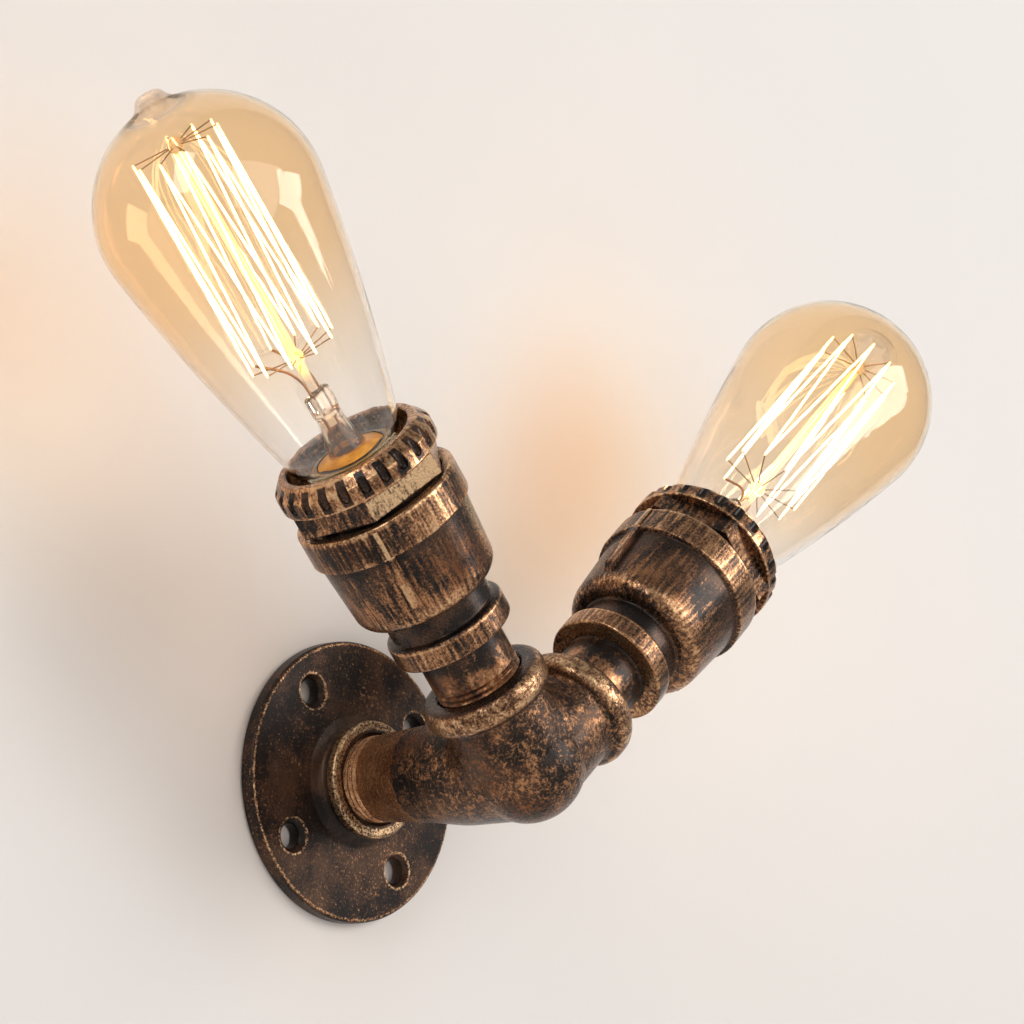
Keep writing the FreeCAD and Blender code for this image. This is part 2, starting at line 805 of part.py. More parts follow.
def bulb_solid(inset, start):
    """Solid inside the envelope's outline, moved in by inset."""
    neck_r = glass_neck_d / 2 - inset
    shoulder_r = shoulder_d / 2 - inset
    ball_r = sphere_r - inset
    shoulder_end = shoulder_start + shoulder_rise
    lean = math.sqrt(0.5)
    ease = math.radians(10)
    half_top = math.radians(45)
    foot = V(neck_r, 0, shoulder_start + inset)
    knee = V(neck_r + (shoulder_r - neck_r) * lean, 0,
             shoulder_start + inset + (shoulder_rise - inset) * (1 - lean))
    waist = V(shoulder_r, 0, shoulder_end)
    widest = V(ball_r * math.cos(ease), 0, sphere_centre - ball_r * math.sin(ease))
    chord = widest - waist
    bow = V(chord.z, 0, -chord.x).normalize() * waist_bow
    edges = [
        Part.LineSegment(V(0, 0, start), V(neck_r, 0, start)).toShape(),
        Part.LineSegment(V(neck_r, 0, start), foot).toShape(),
        Part.Arc(foot, knee, waist).toShape(),
        Part.Arc(waist, (waist + widest) * 0.5 + bow, widest).toShape(),
        Part.Arc(widest, V(ball_r * math.cos(half_top), 0, sphere_centre + ball_r * math.sin(half_top)),
                 V(0, 0, sphere_centre + ball_r)).toShape(),
        Part.LineSegment(V(0, 0, sphere_centre + ball_r), V(0, 0, start)).toShape()]
    body = Part.Face(Part.Wire(edges)).revolve(V(0, 0, 0), V(0, 0, 1), 360)
    return body.fuse(exhaust_tip(inset))


def bulb_glass():
    return bulb_solid(0, glass_start).cut(bulb_solid(glass_thickness, glass_start - 1))


def bulb_cap():
    """Screw cap: rolled thread and a plain skirt."""
    inner_r = cap_core_d / 2 - cap_sheet
    skirt_r = cap_skirt_d / 2
    skirt_start = cap_end - cap_skirt_height
    body = turned([
        (inner_r, cap_start),
        (cap_core_d / 2, cap_start, 0.3),
        (cap_core_d / 2, skirt_start - 0.4),
        (skirt_r - 0.2, skirt_start + 0.4),
        (skirt_r - 0.2, cap_end - 0.9),
        (skirt_r, cap_end - 0.4),
        (skirt_r, cap_end),
        (skirt_r - cap_sheet - 0.2, cap_end),
        (skirt_r - cap_sheet - 0.2, skirt_start + 0.8),
        (inner_r, skirt_start)])
    ridge_r = cap_thread_ridge_d / 2
    ridge = helical_ridge(cap_thread_pitch, cap_thread_turns, bulb_start + cap_thread_start,
                          cap_thread_crest_d / 2 - ridge_r, ridge_r)
    return body.fuse(ridge).cut(rod(inner_r, cap_start - 1, skirt_start))


def cap_cement():
    """Ring of cement between the glass neck and the cap."""
    neck_r = glass_neck_d / 2 + 0.05
    bore_r = cap_core_d / 2 - cap_sheet - 0.05
    skirt_r = cap_skirt_d / 2 - cap_sheet - 0.25
    skirt_start = cap_end - cap_skirt_height
    return turned([
        (neck_r, glass_start),
        (bore_r, glass_start),
        (bore_r, skirt_start),
        (skirt_r, skirt_start + 0.9),
        (skirt_r, cap_end - 0.3),
        (neck_r, cap_end - 0.3)])


def cap_insulator():
    """Black glass between the cap and the eyelet."""
    stud_r = eyelet_stud_d / 2 + 0.02
    grip_r = cap_core_d / 2 - cap_sheet - 0.05
    return turned([
        (stud_r, insulator_start),
        (eyelet_d / 2 + 0.6, insulator_start, 0.5),
        (grip_r, cap_start - 0.1),
        (grip_r, insulator_start + insulator_height),
        (stud_r, insulator_start + insulator_height)])


def cap_eyelet():
    """Bottom contact, with its stud through the insulator."""
    return turned([
        (0, bulb_start),
        (eyelet_d / 2, bulb_start, 0.7),
        (eyelet_d / 2, insulator_start),
        (eyelet_stud_d / 2, insulator_start),
        (eyelet_stud_d / 2, insulator_start + insulator_height - 1),
        (0, insulator_start + insulator_height - 1)])


def lead_place(sign):
    """Where a lead runs inside the stem, across the bulb's axis."""
    return sign * 2.1


def stem_glass():
    """Flare, tube, press, rod and the two buttons that hold the support wires."""
    tube_r = stem_tube_d / 2
    bore_r = tube_r - stem_tube_wall
    flare_r = stem_flare_d / 2
    foot_r = stem_foot_d / 2
    flare_start = cap_end + stem_flare_lift
    foot = flare_start + stem_flare_height
    body = turned([
        (flare_r - stem_tube_wall, flare_start),
        (flare_r, flare_start),
        (flare_r, flare_start + 1.0, 0.4),
        (foot_r, foot, 1.2),
        (tube_r, press_start - 3.0),
        (tube_r, press_start + 0.6),
        (0, press_start + 0.6),
        (0, press_start - 0.8),
        (bore_r, press_start - 0.8, 0.5),
        (bore_r, press_start - 3.0),
        (foot_r - stem_tube_wall, foot - 1.0)])
    press = bar(stem_press_thickness, stem_press_width, press_start, press_end)
    press = press.makeFillet(1.2, [edge for edge in press.Edges])
    body = body.multiFuse([
        press,
        rod(stem_rod_d / 2, press_end - 1, cage_end + 1.5),
        Part.makeSphere(stem_button_d / 2, V(0, 0, cage_start - 2)),
        Part.makeSphere(stem_button_d / 2, V(0, 0, cage_end))])
    for sign in (-1, 1):
        body = body.cut(rod(lead_wire_d / 2 + 0.03, press_start - 1, press_end + 1, y=lead_place(sign)))
    return body


def cage_point(index):
    """Corner of the filament's zigzag: even corners at the bottom, odd ones at the top."""
    steps = 2 * cage_hooks
    angle = math.radians(cage_spread * (index / steps - 0.5))
    height = cage_start if index % 2 == 0 else cage_end
    return V(cage_d / 2 * math.cos(angle), cage_d / 2 * math.sin(angle), height)


def filament():
    """Squirrel-cage filament, zigzagging between the bottom and the top supports."""
    corners = [cage_point(index) for index in range(2 * cage_hooks + 1)]
    pieces = [Part.makeSphere(filament_d / 2, corner) for corner in corners]
    for start, end in zip(corners[:-1], corners[1:]):
        pieces.append(cylinder_between(start, end, filament_d / 2))
    return pieces[0].multiFuse(pieces[1:])


def filament_supports():
    """Radial wires from the stem's buttons to the filament's corners."""
    reach = cage_d / 2 - filament_d / 2 - 0.03
    wires = []
    for index in range(1, 2 * cage_hooks):
        corner = cage_point(index)
        across = V(corner.x, corner.y, 0).normalize()
        drop = 0 if index % 2 else -2
        foot = across * (stem_button_d / 2 + 0.02) + V(0, 0, corner.z + drop)
        wires.append(cylinder_between(foot, across * reach + V(0, 0, corner.z), support_wire_d / 2))
    return Part.makeCompound(wires)


def lead_wires():
    """The two leads from the cap up through the press to the filament's ends."""
    leads = []
    for sign, index in ((-1, 2 * cage_hooks), (1, 0)):
        corner = cage_point(index)
        across = V(corner.x, corner.y, 0).normalize()
        y = lead_place(sign if corner.y * sign > 0 else -sign)
        finish = corner - across * (filament_d + 0.1) - V(0, 0, 0.3)
        points = [
            V(0, y, insulator_start + insulator_height + 0.2),
            V(0, y, press_end + 7.0),
            finish]
        leads.append(routed_wire(points, lead_wire_d))
    return Part.makeCompound(leads)


# ---- assembly ----------------------------------------------------------------------------------
def arm_nodes(side):
    """Everything on one arm, already in place."""
    on_axis = {
        "nipple": nipple(),
        "reducer": reducer(side),
        "crown_bush": crown_bush(side),
        "lampholder_body": lampholder_body(),
        "clamp_washer": clamp_washer(),
        "screw_shell": screw_shell(),
        "centre_contact": centre_contact(),
        "live_terminal": terminal_pillar(live_post_x(), well_floor),
        "neutral_terminal": about_axis(terminal_pillar(neutral_post_x(), shell_seat), 180),
        "terminal_screws": terminal_screws(),
        "bulb_glass": bulb_glass(),
        "bulb_cap": bulb_cap(),
        "bulb_cement": cap_cement(),
        "bulb_insulator": cap_insulator(),
        "bulb_eyelet": cap_eyelet(),
        "bulb_stem": stem_glass(),
        "bulb_filament": filament(),
        "bulb_supports": filament_supports(),
        "bulb_leads": lead_wires(),
    }
    nodes = {side + "_" + name: on_arm(shape, side) for name, shape in on_axis.items()}
    nodes[side + "_live_wire"] = supply_wire(side, block_live_height, terminal_offset, live_lane)
    nodes[side + "_neutral_wire"] = supply_wire(side, block_neutral_height, -terminal_offset, neutral_lane)
    return nodes


def light_nodes():
    nodes = {
        "wall_flange": wall_flange(),
        "three_way_elbow": three_way_elbow(),
        "terminal_block": terminal_block(),
        "live_insert": block_insert(block_live_height),
        "neutral_insert": block_insert(block_neutral_height),
        "block_screws": block_screws(),
    }
    for side in arm_axis:
        nodes.update(arm_nodes(side))
    return nodes


os.makedirs("parts", exist_ok=True)
for name, shape in light_nodes().items():
    shape.exportStep("parts/" + name + ".step")
    print(f"{name}: solids {len(shape.Solids)}, volume {shape.Volume:.1f} mm3, valid {shape.isValid()}")
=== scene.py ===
import json
import math

import bpy
from mathutils import Matrix, Vector


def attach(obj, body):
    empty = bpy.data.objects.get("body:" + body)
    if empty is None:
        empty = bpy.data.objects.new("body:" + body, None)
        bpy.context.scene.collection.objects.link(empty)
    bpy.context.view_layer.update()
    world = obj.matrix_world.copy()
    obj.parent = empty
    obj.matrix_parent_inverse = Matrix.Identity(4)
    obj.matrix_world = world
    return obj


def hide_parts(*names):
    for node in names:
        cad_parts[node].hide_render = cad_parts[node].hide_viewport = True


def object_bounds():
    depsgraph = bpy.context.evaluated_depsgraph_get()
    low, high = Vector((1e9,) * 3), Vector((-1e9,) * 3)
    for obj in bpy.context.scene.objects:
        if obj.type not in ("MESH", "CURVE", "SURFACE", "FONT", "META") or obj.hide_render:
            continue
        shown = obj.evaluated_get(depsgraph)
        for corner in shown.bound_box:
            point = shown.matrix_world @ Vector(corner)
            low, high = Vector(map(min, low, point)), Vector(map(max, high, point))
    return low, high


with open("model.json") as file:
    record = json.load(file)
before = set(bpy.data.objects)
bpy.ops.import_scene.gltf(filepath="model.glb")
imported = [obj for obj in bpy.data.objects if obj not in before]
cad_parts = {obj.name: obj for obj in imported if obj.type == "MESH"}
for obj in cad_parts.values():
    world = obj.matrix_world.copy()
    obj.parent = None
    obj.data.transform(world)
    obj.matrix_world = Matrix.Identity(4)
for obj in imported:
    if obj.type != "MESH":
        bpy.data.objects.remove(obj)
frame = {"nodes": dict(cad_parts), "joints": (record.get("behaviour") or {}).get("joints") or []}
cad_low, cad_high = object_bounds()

# Industrial pipe wall light, dressed in metres in the frame of the solids.
# The wall is the plane y = 0, the lamp stands out along -Y, and +Z is up.
# In the finishes of an arm, s is the distance along it from the elbow's centre and r the distance from
# its axis, both in millimetres.

MM = 0.001
SIDES = ("left", "right")

# ---- places that come from the frame -------------------------------------------------------------
JOINTS = {joint["name"]: joint for joint in frame["joints"]}
ELBOW = Vector(JOINTS["arms_swivel"]["pos_m"])
OUTWARD = Vector((0.0, -1.0, 0.0))
ARM_AXIS = {side: Vector(JOINTS[side + "_bulb_turn"]["axis"]).normalized() for side in SIDES}
ACROSS = {side: ARM_AXIS[side].cross(OUTWARD) for side in SIDES}


def farthest(node, side):
    """Highest s of a CAD node along its arm, in metres."""
    return max((vertex.co - ELBOW).dot(ARM_AXIS[side]) for vertex in frame["nodes"][node].data.vertices)


# Top of the bulbs, in millimetres along their arms.
GLASS_TOP = farthest("left_bulb_glass", "left") / MM

# The crown's grooves, the face of the hexagon that gets a painted sheen, as angles about its arm, how
# strong that painted sheen is on each side, and how much less copper shows on the right cup.
GROOVES = 24.0
SHEEN_FACE_ANGLES = (math.radians(-50.3), math.radians(9.7))
PAINTED_FACE_SHEEN = {"left": 1.0, "right": 0.0}
CUP_COPPER_SHIFT = {"left": 0.0, "right": -0.13}

# The wall plate's screw holes, in millimetres and as the angle of the first one.
HOLE_CIRCLE_R = 30.8
HOLE_ANGLE = math.radians(38.2)
QUARTER = math.pi / 2

# How strongly the filament glows, and how far its fine coil reaches beyond the strand's solid.
STRAND_GLOW = 6.5
COIL_SWELL = 0.06 * MM

# ---- colours, linear -----------------------------------------------------------------------------
SOOT = (0.012, 0.0085, 0.0070, 1)
UMBER = (0.074, 0.038, 0.022, 1)
RUST = (0.21, 0.082, 0.034, 1)
COPPER = (0.46, 0.225, 0.108, 1)
BRONZE = (0.68, 0.45, 0.25, 1)
PAINT_DARK = (0.750, 0.724, 0.702, 1)
PAINT_LIGHT = (0.780, 0.749, 0.727, 1)


# ---- material building ---------------------------------------------------------------------------
class Field:
    """A number that varies over a surface, with arithmetic."""

    def __init__(self, net, socket):
        self.net = net
        self.socket = socket

    def __add__(self, other):
        return self.net.math("ADD", self, other)

    def __sub__(self, other):
        return self.net.math("SUBTRACT", self, other)

    def __rsub__(self, other):
        return self.net.math("SUBTRACT", other, self)

    def __mul__(self, other):
        return self.net.math("MULTIPLY", self, other)

    def __truediv__(self, other):
        return self.net.math("DIVIDE", self, other)

    __radd__ = __add__
    __rmul__ = __mul__


class Net:
    """The node tree of one material, with short ways to build it."""

    def __init__(self, name):
        self.material = bpy.data.materials.new(name)
        self.material.use_nodes = True
        self.tree = self.material.node_tree
        self.tree.nodes.clear()
        self.output = self.tree.nodes.new("ShaderNodeOutputMaterial")
        self.place = self.node("TexCoord").outputs["Object"]

    def node(self, kind, inputs=None, **settings):
        made = self.tree.nodes.new("ShaderNode" + kind)
        for key, value in settings.items():
            setattr(made, key, value)
        for key, value in (inputs or {}).items():
            self.feed(made.inputs[key], value)
        return made

    def feed(self, socket, value):
        if isinstance(value, Field):
            value = value.socket
        if isinstance(value, bpy.types.NodeSocket):
            self.tree.links.new(value, socket)
        else:
            socket.default_value = value

    def math(self, operation, *values):
        made = self.node("Math", operation=operation)
        for socket, value in zip(made.inputs, values):
            self.feed(socket, value)
        return Field(self, made.outputs[0])

    def vector(self, operation, *values):
        made = self.node("VectorMath", operation=operation)
        for socket, value in zip(made.inputs, values):
            self.feed(socket, value)
        return made.outputs["Vector"]

    def dot(self, first, second):
        made = self.node("VectorMath", {0: first, 1: tuple(second)}, operation="DOT_PRODUCT")
        return Field(self, made.outputs["Value"])

    def join(self, x, y, z):
        return self.node("CombineXYZ", {0: x, 1: y, 2: z}).outputs[0]

    def noise(self, vector, scale, detail=5.0, roughness=0.55, distortion=0.0, seed=0.0):
        """Noise about 0.5 with features of 1 / scale metres."""
        moved = self.vector("ADD", vector, (seed, seed * 0.7, -seed))
        made = self.node("TexNoise", {"Vector": moved, "Scale": scale, "Detail": detail,
                                      "Roughness": roughness, "Distortion": distortion})
        return Field(self, made.outputs["Fac"])

    def grains(self, vector, scale):
        """Distance to the nearest of many scattered points, from 0 to about 1."""
        made = self.node("TexVoronoi", {"Vector": vector, "Scale": scale})
        return Field(self, made.outputs["Distance"])

    def ease(self, value, low, high):
        """0 at low and below, 1 at high and above, smooth between."""
        made = self.node("MapRange", {"Value": value, "From Min": low, "From Max": high},
                         interpolation_type="SMOOTHSTEP")
        return Field(self, made.outputs["Result"])

    def band(self, value, low, high, soft):
        """1 between low and high, 0 outside, with soft edges."""
        return self.ease(value, low - soft, low + soft) * (1.0 - self.ease(value, high - soft, high + soft))

    def profile(self, value, stops):
        """Straight lines through (place, height) stops."""
        low, high = stops[0][0], stops[-1][0]
        made = self.node("ValToRGB", {0: (value - low) / (high - low)})
        steps = made.color_ramp.elements
        for place, height in stops[1:-1]:
            steps.new((place - low) / (high - low)).color = (height, height, height, 1)
        for step, (place, height) in ((steps[0], stops[0]), (steps[-1], stops[-1])):
            step.color = (height, height, height, 1)
        return Field(self, made.outputs["Color"])

    def mix(self, factor, first, second):
        made = self.node("Mix", {0: factor, 6: first, 7: second}, data_type="RGBA")
        return made.outputs[2]

    def bump(self, height, distance, strength=1.0):
        return self.node("Bump", {"Height": height, "Distance": distance, "Strength": strength}).outputs[0]

    def finish(self, shader):
        self.tree.links.new(shader.outputs[0], self.output.inputs["Surface"])
        return self.material

    def surface(self, **inputs):
        """Principled surface; an input's name is written with underscores for its spaces."""
        named = {key.replace("_", " "): value for key, value in inputs.items()}
        return self.finish(self.node("BsdfPrincipled", named))

    def blend(self, factor, first, second):
        """Surface of two shaders: first where factor is 0, second where it is 1."""
        return self.finish(self.node("MixShader", {0: factor, 1: first.outputs[0], 2: second.outputs[0]}))


def arm_field(net, side):
    """Fields s, x and y in millimetres along and across an arm."""
    away = net.vector("SUBTRACT", net.place, tuple(ELBOW))
    scale = 1 / MM
    return (net.dot(away, ARM_AXIS[side] * scale),
            net.dot(away, OUTWARD * scale),
            net.dot(away, ACROSS[side] * scale))


def radius(net, x, y):
    """Distance of a point from the origin of x and y."""
    return net.math("SQRT", x * x + y * y)


def aged_metal(net, copper_shown, brightness, grain, streaks, roughness=0.28, bump_mm=0.05,
               flecks=1.0, clouds=0.9, seed=0.0):
    """Dark antique bronze, dry-brushed with copper.

    copper_shown is how much copper shows, brightness how pale it is, grain the fine texture of the surface
    and streaks the long brush marks; all are fields from 0 to 1. Some callers feed painted shade and
    painted highlights in through copper_shown and brightness. flecks and clouds are how strongly the finest
    and the broadest noise break the copper up.
    """
    cloud = net.noise(net.place, 70.0, 4.0, 0.6, seed=seed)
    speck = net.noise(net.place, 1500.0, 4.0, 0.65, seed=seed + 3.0)
    fine = (grain - 0.5) * 0.8 + (speck - 0.5) * 0.7
    amount = copper_shown + (streaks - 0.5) * 1.7 + (cloud - 0.5) * clouds + fine * flecks
    copper = net.ease(amount, 0.28, 0.86)
    shine = net.ease(amount + (brightness - 0.5) * 0.9, 0.68, 1.20)
    warm = net.noise(net.place, 45.0, 3.0, 0.5, seed=seed + 7.0)
    under = net.mix(net.ease(cloud + (speck - 0.5) * 0.5, 0.40, 0.66), SOOT, UMBER)
    brushed = net.mix(net.ease(warm, 0.48, 0.66), COPPER, RUST)
    brushed = net.mix(shine, brushed, BRONZE)
    color = net.mix(copper, under, brushed)
    metallic = 0.55 + copper * 0.40
    rough = roughness + (speck - 0.5) * 0.20 - shine * 0.06
    height = grain * 0.6 + speck * 0.25 + copper * 0.15
    return net.surface(Base_Color=color, Metallic=metallic, Roughness=rough,
                       Normal=net.bump(height, bump_mm * MM), Specular_IOR_Level=0.38)


def reducer_material(side):
    """The cup: bronze ring, black neck, streaked cup and a bright band, with a painted shade just beneath
    the band and a painted highlight along the shoulder.
    """
    net = Net(side + "_cup_finish")
    s, x, y = arm_field(net, side)
    # The dip to 0.06 at s 82.6 is a painted shade just beneath the band.
    copper_shown = net.profile(s, [
        (44.5, 0.72), (45.3, 0.66), (46.0, 0.46), (50.4, 0.48), (51.3, 0.80), (52.2, 0.04), (58.7, 0.02),
        (59.7, 0.40), (62.0, 0.62), (66.0, 0.56), (74.0, 0.40), (80.0, 0.30), (82.6, 0.06), (83.0, 0.30),
        (83.6, 0.66), (84.6, 0.50), (91.6, 0.50), (92.6, 0.78), (93.6, 0.80)])
    r = radius(net, x, y)
    rib = net.ease(r, 23.2, 24.2) * net.band(s, 62.0, 82.9, 0.5)
    ridge = net.ease(r, 24.4, 24.7) * net.band(s, 83.4, 92.8, 0.2)
    streaks = net.noise(net.join(x, y, s * 0.10), 0.9, 5.0, 0.62, seed=2.0)
    brightness = net.band(s, 44.0, 52.2, 0.4) * 0.30 + net.band(s, 82.9, 95.0, 0.4) * 0.35 + 0.30
    grain = net.noise(net.place, 1400.0, 3.0, 0.6)
    cup = net.band(s, 63.0, 82.6, 1.5)
    # Painted highlight along the cup's shoulder.
    shoulder_highlight = net.band(s, 60.0, 65.0, 1.2)
    copper_shown = copper_shown + (rib + ridge) * 0.30 + cup * CUP_COPPER_SHIFT[side]
    brightness = brightness + (rib + ridge) * 0.30 + shoulder_highlight * 0.35
    return aged_metal(net, copper_shown, brightness, grain, streaks, seed=1.0)


def bush_material(side):
    """Hexagon and crown: bright edges, a painted sheen on one hexagon face, and grooves darkened with
    painted shade that runs a little past their ends.
    """
    net = Net(side + "_crown_finish")
    s, x, y = arm_field(net, side)
    r = radius(net, x, y)
    copper_shown = net.profile(s, [
        (73.0, 0.1), (94.6, 0.15), (95.2, 0.52), (100.4, 0.44), (101.0, 0.30), (101.6, 0.86), (102.6, 0.70),
        (103.4, 0.56), (105.6, 0.62), (106.6, 0.84), (108.2, 0.60), (109.5, 0.82), (110.0, 0.60)])
    mouth = 1.0 - net.ease(r, 19.1, 19.6)
    turn = net.math("ARCTAN2", y, x)
    # The grooves' darkness is painted shade, laid along the slots and run a little past the cut grooves'
    # ends.
    slots = net.ease(net.math("COSINE", turn * GROOVES), 0.02, 0.30)
    painted_groove_shade = slots * net.band(s, 102.2, 108.9, 0.35) * net.ease(r, 19.9, 20.5)
    # A painted highlight on one face of the hexagon, chosen by its angle about the arm.
    painted_sheen = net.band(turn, *SHEEN_FACE_ANGLES, 0.03) * net.band(s, 94.8, 101.0, 0.2) * PAINTED_FACE_SHEEN[side]
    streaks = net.noise(net.join(x, y, s * 0.25), 0.8, 5.0, 0.6, seed=5.0)
    grain = net.noise(net.place, 1300.0, 3.0, 0.6, seed=1.0)
    copper_shown = copper_shown + painted_sheen * 0.30 - painted_groove_shade * 1.1 - mouth * 0.25
    return aged_metal(net, copper_shown, 0.60 + painted_sheen * 0.4, grain, streaks, seed=4.0)


def nipple_material(side):
    """Short pipe: black satin with rubbed patches near the elbow."""
    net = Net(side + "_nipple_finish")
    s, x, y = arm_field(net, side)
    copper_shown = net.profile(s, [
        (14.0, 0.2), (30.0, 0.62), (35.0, 0.60), (39.0, 0.34), (44.0, 0.16), (60.0, 0.1)])
    streaks = net.noise(net.join(x, y, s * 0.5), 0.35, 5.0, 0.6, seed=6.0)
    grain = net.noise(net.place, 1000.0, 3.0, 0.6, seed=2.0)
    return aged_metal(net, copper_shown, 0.5, grain, streaks, roughness=0.32, bump_mm=0.05, seed=8.0)


def elbow_material():
    """Sand casting: speckled bronze, with brighter beads round its ports and a brushed inlet."""
    net = Net("elbow_finish")
    ends = []
    beads = []
    for side in SIDES:
        s, x, y = arm_field(net, side)
        r = radius(net, x, y)
        beads.append(net.band(s, 21.0, 29.6, 0.5) * net.ease(r, 16.8, 18.4))
        ends.append(net.ease(s, 29.2, 29.9) * (1.0 - net.ease(r, 16.8, 18.0)))
    bead = net.math("MAXIMUM", beads[0], beads[1])
    end = net.math("MAXIMUM", ends[0], ends[1])
    depth = net.dot(net.place, OUTWARD / MM)
    ragged = net.noise(net.place, 400.0, 3.0, 0.6, seed=12.0)
    inlet = 1.0 - net.ease(depth + (ragged - 0.5) * 3.0, 33.0, 34.0)
    axes = net.node("SeparateXYZ", {0: net.place})
    squeezed = net.join(axes.outputs[0], Field(net, axes.outputs[1]) * 6.0, axes.outputs[2])
    scratch = net.noise(squeezed, 260.0, 5.0, 0.7, distortion=0.3, seed=3.0)
    cast = net.grains(net.place, 900.0)
    sand = net.noise(net.place, 1300.0, 4.0, 0.7, seed=4.0)
    blotches = net.noise(net.place, 330.0, 5.0, 0.75, distortion=0.5, seed=5.0)
    streaks = blotches * (1.0 - inlet) + scratch * inlet
    copper_shown = 0.38 + bead * 0.27 + inlet * 0.42 - end * 0.8
    grain = (sand * 0.65 + cast * 0.35) * (1.0 - bead * 0.4) + bead * 0.20
    brightness = 0.46 + bead * 0.25 - inlet * 0.12
    return aged_metal(net, copper_shown, brightness, grain, streaks, roughness=0.27, bump_mm=0.22,
                      flecks=1.3, clouds=0.6, seed=11.0)


def flange_material():
    """Flange: nearly black, sparse copper specks, worn rim and hole edges."""
    net = Net("flange_finish")
    x = net.dot(net.place, Vector((1, 0, 0)) / MM)
    z = net.dot(net.place, Vector((0, 0, 1)) / MM)
    depth = net.dot(net.place, OUTWARD / MM)
    r = radius(net, x, z)
    turned = net.math("ARCTAN2", z, x) - HOLE_ANGLE + QUARTER / 2
    folded = net.math("FLOORED_MODULO", turned, QUARTER) - QUARTER / 2
    from_hole = radius(net, r * net.math("COSINE", folded) - HOLE_CIRCLE_R, r * net.math("SINE", folded))
    front = net.ease(depth, 2.6, 3.4)
    rim = net.band(r, 40.3, 41.1, 0.25) * front
    hole_edge = net.band(from_hole, 5.0, 5.8, 0.25) * front
    inside_hole = 1.0 - net.ease(from_hole, 4.3, 4.7)
    hub = net.band(r, 14.5, 17.6, 0.4) * net.ease(depth, 10.0, 10.6)
    neck = net.band(r, 14.0, 19.0, 0.8) * (1.0 - net.ease(depth, 9.5, 10.5))
    patch = net.noise(net.place, 55.0, 4.0, 0.55, distortion=0.4, seed=9.0)
    speck = net.noise(net.place, 1500.0, 3.0, 0.7, seed=2.0)
    rubbed = rim * 0.42 + hole_edge * 0.42 + hub * 0.46
    copper_shown = 0.15 + (patch - 0.5) * 0.40 + rubbed - inside_hole * 0.5 - neck * 0.3
    brightness = 0.62 + rim * 0.10 + hub * 0.35 + hole_edge * 0.25
    grain = net.noise(net.place, 1000.0, 4.0, 0.7, seed=6.0)
    return aged_metal(net, copper_shown, brightness, grain, speck, roughness=0.36, bump_mm=0.14,
                      flecks=1.7, clouds=0.5, seed=15.0)


def turned_metal(name, color, roughness, line_scale=2600.0):
    """Machined or rolled bright metal with fine lines and a little tarnish."""
    net = Net(name)
    lines = net.noise(net.vector("MULTIPLY", net.place, (1.0, 0.2, 1.0)), line_scale, 2.0, 0.5)
    tarnish = net.noise(net.place, 140.0, 4.0, 0.6)
    dark = tuple(value * 0.55 for value in color[:3]) + (1,)
    return net.surface(Base_Color=net.mix(net.ease(tarnish, 0.5, 0.75), color, dark), Metallic=1.0,
                       Roughness=roughness + (tarnish - 0.5) * 0.25, Normal=net.bump(lines, 0.01 * MM))


def moulded(name, color, roughness, spread=0.2, coat=0.0):
    """Plastic, fibre or glazed ceramic with faint mottling."""
    net = Net(name)
    mottle = net.noise(net.place, 260.0, 4.0, 0.6)
    fine = net.noise(net.place, 2200.0, 2.0, 0.5)
    dark = tuple(value * (1 - spread) for value in color[:3]) + (1,)
    return net.surface(Base_Color=net.mix(net.ease(mottle, 0.35, 0.7), color, dark), Coat_Weight=coat,
                       Roughness=roughness + (mottle - 0.5) * 0.15, Normal=net.bump(fine, 0.02 * MM))


def glass_material(side):
    """Amber glass: deepest round the head, nearly clear at the neck and pale at the tip.

    It tints the light that it lets through to the wall.
    """
    net = Net(side + "_amber_glass")
    s, x, y = arm_field(net, side)
    cloud = net.noise(net.place, 22.0, 2.0, 0.5, seed=2.0)
    depth = net.ease(s + (cloud - 0.5) * 16.0, 112.0, 176.0)
    color = net.mix(depth, (0.995, 0.988, 0.975, 1), (0.970, 0.815, 0.610, 1))
    ripple = net.noise(net.place, 60.0, 2.0, 0.5)
    glass = net.node("BsdfPrincipled", {
        "Base Color": color, "Roughness": 0.0, "IOR": 1.47, "Transmission Weight": 1.0,
        "Normal": net.bump(ripple, 0.25 * MM, 0.25)})
    shade = net.mix(depth, (0.96, 0.93, 0.88, 1), (0.93, 0.80, 0.62, 1))
    tip = net.ease(s, GLASS_TOP - 6.5, GLASS_TOP - 4.0)
    clear = net.node("BsdfTransparent", {"Color": net.mix(tip, shade, (0.97, 0.93, 0.90, 1))})
    shadow = net.node("LightPath").outputs["Is Shadow Ray"]
    see_through = net.math("MAXIMUM", shadow, tip * 0.65)
    return net.blend(see_through, glass, clear)


